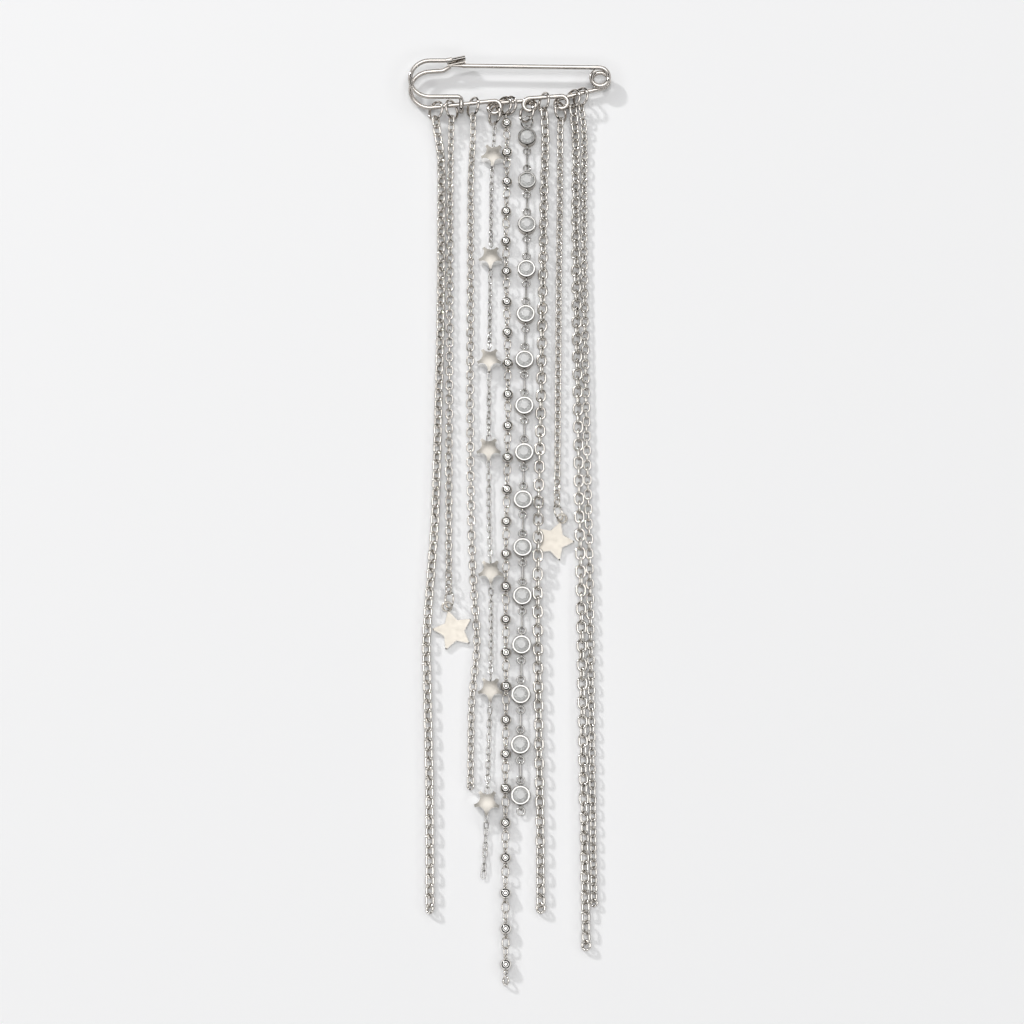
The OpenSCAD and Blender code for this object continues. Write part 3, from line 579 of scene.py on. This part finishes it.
def crimp(wire_node, cap_node):
    """A short wire from the end of a wire that is nearest to the cap, level, into the cap."""
    corners = np.array([vertex.co[:] for vertex in nodes[wire_node].data.vertices]) / MM
    low, high = (np.array(corner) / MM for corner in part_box(cap_node))
    target = (low + high) / 2
    nearest = corners[np.argmin(np.linalg.norm(corners - target, axis=1))]
    end = corners[np.linalg.norm(corners - nearest, axis=1) < PIN_WIRE]
    middle = (end.min(0) + end.max(0)) / 2
    along = np.array([target[0] - middle[0], target[1] - middle[1], 0.0])
    print(wire_node, "ends near", middle.round(2), "cap middle", target.round(2))
    return short_wire(middle, along / np.linalg.norm(along), CRIMP_LENGTH, PIN_WIRE / 2 * CRIMP_SHARE)


crimps = [crimp(wire_node, "pin_cap") for wire_node in ("pin_front", "pin_frame")]
joined("crimped_ends", crimps, PIN_STEEL)

# %% [markdown]
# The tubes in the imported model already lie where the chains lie. A tube's points come in rings, and the
# middle of each ring is a point of the chain's route. The ring of the pin that carries a chain gives the
# route's first point. So the links follow the model, and no route is written down twice.

# %% Routes read from the tubes
RING_GAP = 0.3
RING_WIRE = 0.65


def points_of(name):
    corners = np.array([vertex.co[:] for vertex in nodes[name].data.vertices]) / MM
    return np.unique(np.round(corners, 3), axis=0)


def rings_of(name, gap=RING_GAP):
    """Middles of a node's clumps of points, from its upper end to its lower end."""
    corners = points_of(name)
    corners = corners[np.argsort(-corners[:, 1])]
    cuts = np.where(np.diff(corners[:, 1]) < -gap)[0] + 1
    return np.array([(clump.min(0) + clump.max(0)) / 2 for clump in np.split(corners, cuts)])


def lower_wire(ring):
    """The middle of the wire at a hanging ring's lower end."""
    low, high = (np.array(corner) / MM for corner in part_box(ring))
    return np.array([(low[0] + high[0]) / 2, low[1] + RING_WIRE / 2, (low[2] + high[2]) / 2])


def route(tube, ring):
    points = np.vstack([lower_wire(ring), rings_of(tube)])
    steps = np.linalg.norm(np.diff(points, axis=0), axis=1)
    return np.concatenate([[0], np.cumsum(steps)]), points


def place_on(path, distance):
    lengths, points = path
    past = max(0.0, distance - lengths[-1])
    last = (points[-1] - points[-2]) / np.linalg.norm(points[-1] - points[-2])
    return np.array([np.interp(distance, lengths, points[:, a]) for a in range(3)]) + past * last


for tube, ring in (("strand_b", "jump_ring_b"), ("strand_g", "jump_ring_g")):
    print(tube, "route in mm:", round(route(tube, ring)[0][-1], 1), "rings:", len(rings_of(tube)))

# %% [markdown]
# The five plain chains are two stocks of cable: a heavy one with 0.6 mm wire and a light one with
# 0.45 mm wire. The first link leans away from its ring, or the two would lie flat in each other. Where
# the count of links would bring the last one flat into the closing ring, the whole chain is given a
# slow quarter turn, as a real chain has when it is laid down.

# %% The plain chains
HEAVY = {"length": 3.5, "width": 2.6, "wire": 0.6}
LIGHT = {"length": 2.8, "width": 2.0, "wire": 0.45}
LINK_GAP = 0.13
TUBE_GAP = 0.15
LEAN = 45.0
UNEVEN = 2.5
chance = np.random.default_rng(11)


def cable(name, tube, ring, stock, held, first_roll, last_roll):
    """Links from a ring on the pin to a closing ring, whose wire is held millimetres thick."""
    path = route(tube, ring)
    wire = stock["wire"]
    bow = (stock["length"] - wire) / 2
    pitch = stock["length"] - 2 * wire - LINK_GAP
    start = bow - (RING_WIRE + wire) / 2 - LINK_GAP
    hold = path[0][-1] + TUBE_GAP + held / 2
    count = round((hold - start - bow + (wire + held) / 2 + LINK_GAP) / pitch) + 1
    ends_at = first_roll * (1 if count % 2 else -1)
    turn = (last_roll - ends_at) / (count - 1)
    template, faces = oval_link(**stock)
    parts = []
    for i in range(count):
        middle = start + i * pitch
        along = place_on(path, middle + pitch / 2) - place_on(path, middle - pitch / 2)
        roll = first_roll * (-1) ** i + turn * i + chance.normal(0, UNEVEN)
        parts.append((template @ axes(along, roll) + place_on(path, middle), faces))
    return joined(name, parts, CHAIN_SILVER, tube)


# name, tube it stands for, ring that carries it, stock, wire of its closing ring, first and last roll
PLAIN_CHAINS = [
    ("light_chain_b", "strand_b", "jump_ring_b", LIGHT, 0.5, LEAN, -LEAN),
    ("light_chain_c", "strand_c", "jump_ring_c", LIGHT, 0.45, -LEAN, -LEAN),
    ("heavy_chain_g", "strand_g", "jump_ring_g", HEAVY, 0.6, -LEAN, -LEAN),
    ("heavy_chain_i", "strand_i", "jump_ring_i", HEAVY, 0.6, -LEAN, -LEAN),
    ("light_chain_j", "strand_j", "jump_ring_j", LIGHT, 0.45, -LEAN, -LEAN),
]
for name, tube, ring, stock, held, first_roll, last_roll in PLAIN_CHAINS:
    cable(name, tube, ring, stock, held, first_roll, last_roll)

# %% [markdown]
# The finest chain is threaded through seven puffed stars. Between the stars it lies on the table, and
# below the third star and the last it has been twisted on itself, so that its links look like the lay
# of a rope. The links inside a star can't be seen and are left out.

# %% The fine chain of stars
FINE = {"length": 2.2, "width": 1.2, "wire": 0.3}
FINE_GAP = 0.06
STAR_COUNT = 7
ROPE_TURN = 38.0
HIDDEN_IN_BEAD = 0.3
BELOW_ALL = -1000.0
FINE_UNEVEN = 4.0


def star_spans():
    """Upper and lower end of each star bead along y, in millimetres."""
    spans = []
    for i in range(STAR_COUNT):
        low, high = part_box(f"star_bead_{i + 1}")
        spans.append((high.y / MM, low.y / MM))
    return spans


def fine_chain():
    path = route("strand_d", "jump_ring_d")
    spans = star_spans()
    ropes = [(spans[2][1], spans[3][0]), (spans[6][1], BELOW_ALL)]
    pitch = FINE["length"] - 2 * FINE["wire"] - FINE_GAP
    start = (FINE["length"] - FINE["wire"]) / 2 - (RING_WIRE + FINE["wire"]) / 2 - FINE_GAP
    count = int((path[0][-1] - start) / pitch)
    template, faces = oval_link(**FINE)
    parts, twist = [], 0.0
    for i in range(count):
        middle = start + i * pitch
        place = place_on(path, middle)
        if any(high > place[1] > low for high, low in ropes):
            twist += ROPE_TURN
        if any(high - HIDDEN_IN_BEAD > place[1] > low + HIDDEN_IN_BEAD for high, low in spans):
            continue
        along = place_on(path, middle + pitch / 2) - place_on(path, middle - pitch / 2)
        roll = -LEAN * (-1) ** i + twist + chance.normal(0, FINE_UNEVEN)
        parts.append((template @ axes(along, roll) + place, faces))
    return joined("fine_chain_d", parts, FINE_SILVER, "strand_d")


fine_chain()

# %% [markdown]
# The satellite chain carries polished balls. Each ball has a small eye at both ends, and between two
# balls hang one open oval link and one small link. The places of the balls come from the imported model,
# so the links fill the space between each two balls.

# %% The links between the balls
EYE = {"length": 1.3, "width": 1.3, "wire": 0.32}
OPEN_OVAL = {"length": 2.9, "width": 2.2, "wire": 0.38}
SMALL_OVAL = {"length": 2.3, "width": 1.5, "wire": 0.36}
BALL_GAP = 2.0
SUNK = 0.12
HOOKS = 3
UPPER_EYE_ROLL = -40
OPEN_ROLL = 38
SMALL_ROLL = -50
LOWER_EYE_ROLL = 50
END_EYE_ROLL = 40


def set_down(stock, middle, along, roll):
    template, faces = oval_link(**stock)
    return template @ axes(along, roll) + middle, faces


def between(upper, lower, radius, flip):
    """Eye, open oval, small oval and eye in line from one ball to the next."""
    u = (lower - upper) / np.linalg.norm(lower - upper)
    reach = (EYE["length"] - EYE["wire"]) / 2
    eye_off = radius + reach - SUNK
    first = upper + u * eye_off
    last = lower - u * eye_off
    spans = [OPEN_OVAL["length"] - OPEN_OVAL["wire"], SMALL_OVAL["length"] - SMALL_OVAL["wire"]]
    hook = (sum(spans) + 2 * reach - np.linalg.norm(last - first)) / HOOKS
    open_at = first + u * (reach - hook + spans[0] / 2)
    small_at = open_at + u * (spans[0] / 2 - hook + spans[1] / 2)
    return [set_down(EYE, first, u, UPPER_EYE_ROLL * flip),
            set_down(OPEN_OVAL, open_at, u, OPEN_ROLL * flip),
            set_down(SMALL_OVAL, small_at, u, SMALL_ROLL * flip),
            set_down(EYE, last, u, LOWER_EYE_ROLL * flip)], hook


def satellite_links():
    balls = rings_of("satellite_balls", BALL_GAP)
    low, high = balls[0][1], balls[-1][1]
    corners = points_of("satellite_balls")
    radius = (corners[:, 2].max() - corners[:, 2].min()) / 2
    parts, hooks = [], []
    for i in range(len(balls) - 1):
        made, hook = between(balls[i], balls[i + 1], radius, 1 if i % 3 else -1)
        parts += made
        hooks.append(hook)
    print("balls:", len(balls), "from y", round(low, 1), "to", round(high, 1), "hook", round(min(hooks), 2))
    top = lower_wire("jump_ring_e1")
    u = (balls[0] - top) / np.linalg.norm(balls[0] - top)
    eye_off = radius + (EYE["length"] - EYE["wire"]) / 2 - SUNK
    parts.append(set_down(EYE, balls[0] - u * eye_off, u, END_EYE_ROLL))
    down = (balls[-1] - balls[-2]) / np.linalg.norm(balls[-1] - balls[-2])
    parts.append(set_down(EYE, balls[-1] + down * eye_off, u, -END_EYE_ROLL))
    return joined("satellite_links", parts, CHAIN_SILVER, "strand_e")


satellite_links()
